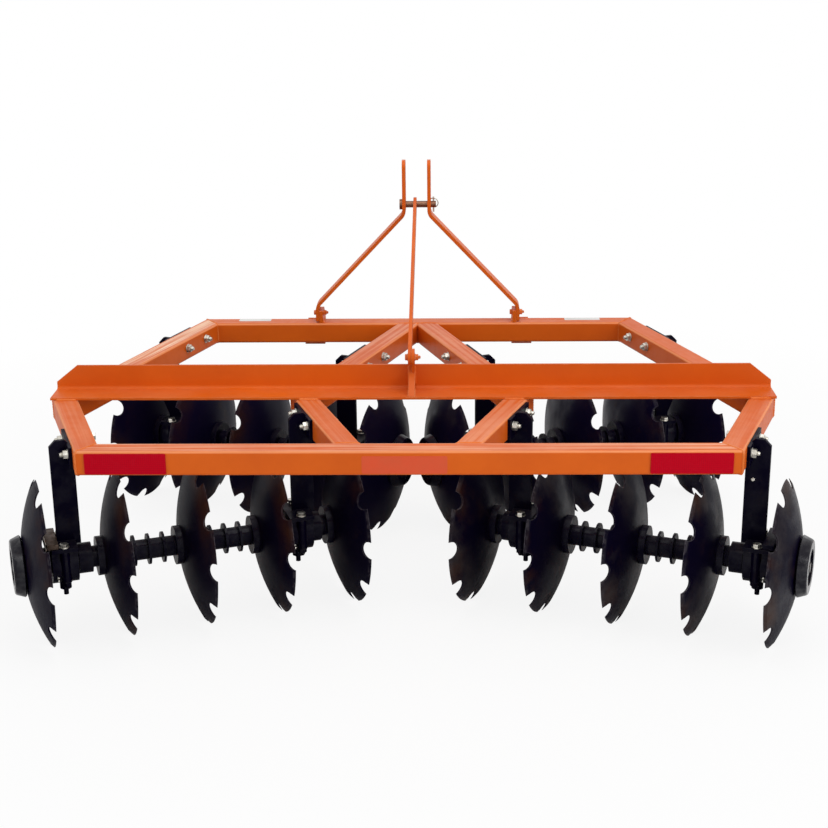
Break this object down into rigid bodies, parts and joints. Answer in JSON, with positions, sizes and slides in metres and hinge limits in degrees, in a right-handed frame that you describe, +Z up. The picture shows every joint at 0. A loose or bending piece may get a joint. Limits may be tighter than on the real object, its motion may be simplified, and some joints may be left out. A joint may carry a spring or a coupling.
{
  "type": "disc harrow",
  "caption": "Mounted tandem disc harrow with an orange square-tube frame, a mast for a three-point hitch and angled gangs of dark notched discs.",
  "frame": {"origin": "on the ground below the middle of the whole machine, resting on its discs", "axes": "+X to the machine's right as seen from behind, +Y towards the tractor, +Z up"},
  "size_m": [1.9404, 1.3902, 0.9849],
  "materials": {
    "frame_paint": "satin",
    "hanger_paint": "satin",
    "disc_steel": "satin",
    "black_cast_iron": "matte",
    "axle_steel": "satin",
    "pin_steel": "satin",
    "reflector": "gloss"
  },
  "bodies": {
    "frame": {"rear_beam": "frame_paint", "front_beam": "frame_paint", "rear_left_tube": "frame_paint", "rear_left_inner_tube": "frame_paint", "rear_right_tube": "frame_paint", "rear_right_inner_tube": "frame_paint", "front_left_tube": "frame_paint", "front_left_inner_tube": "frame_paint", "front_right_tube": "frame_paint", "front_right_inner_tube": "frame_paint", "cross_angle": "frame_paint", "brace_gusset": "frame_paint", "rear_brace": "frame_paint", "hitch_plates_left": "frame_paint", "hitch_plates_right": "frame_paint", "mast_strap_left": "frame_paint", "mast_strap_right": "frame_paint", "mast_pin": "pin_steel", "linch_pin": "pin_steel", "reflectors": "reflector", "rear_left_bearing_housings": "black_cast_iron", "rear_left_hangers": "hanger_paint", "rear_right_bearing_housings": "black_cast_iron", "rear_right_hangers": "hanger_paint", "front_left_bearing_housings": "black_cast_iron", "front_left_hangers": "hanger_paint", "front_right_bearing_housings": "black_cast_iron", "front_right_hangers": "hanger_paint"},
    "rear_left_gang": {"rear_left_discs": "disc_steel", "rear_left_spools": "black_cast_iron", "rear_left_end_fittings": "black_cast_iron", "rear_left_axle": "axle_steel"},
    "rear_right_gang": {"rear_right_discs": "disc_steel", "rear_right_spools": "black_cast_iron", "rear_right_end_fittings": "black_cast_iron", "rear_right_axle": "axle_steel"},
    "front_left_gang": {"front_left_discs": "disc_steel", "front_left_spools": "black_cast_iron", "front_left_end_fittings": "black_cast_iron", "front_left_axle": "axle_steel"},
    "front_right_gang": {"front_right_discs": "disc_steel", "front_right_spools": "black_cast_iron", "front_right_end_fittings": "black_cast_iron", "front_right_axle": "axle_steel"}
  },
  "joints": [
    {"name": "rear_left_gang_spin", "type": "hinge", "parent": "frame", "child": "rear_left_gang", "pos_m": [-0.56487, -0.3908, 0.203], "axis": [-0.9397, -0.342, 0], "continuous": true},
    {"name": "rear_right_gang_spin", "type": "hinge", "parent": "frame", "child": "rear_right_gang", "pos_m": [0.56487, -0.3908, 0.203], "axis": [0.9397, -0.342, 0], "continuous": true},
    {"name": "front_left_gang_spin", "type": "hinge", "parent": "frame", "child": "front_left_gang", "pos_m": [-0.40931, 0.3333, 0.203], "axis": [0.9397, -0.342, 0], "continuous": true},
    {"name": "front_right_gang_spin", "type": "hinge", "parent": "frame", "child": "front_right_gang", "pos_m": [0.40931, 0.3333, 0.203], "axis": [-0.9397, -0.342, 0], "continuous": true}
  ]
}
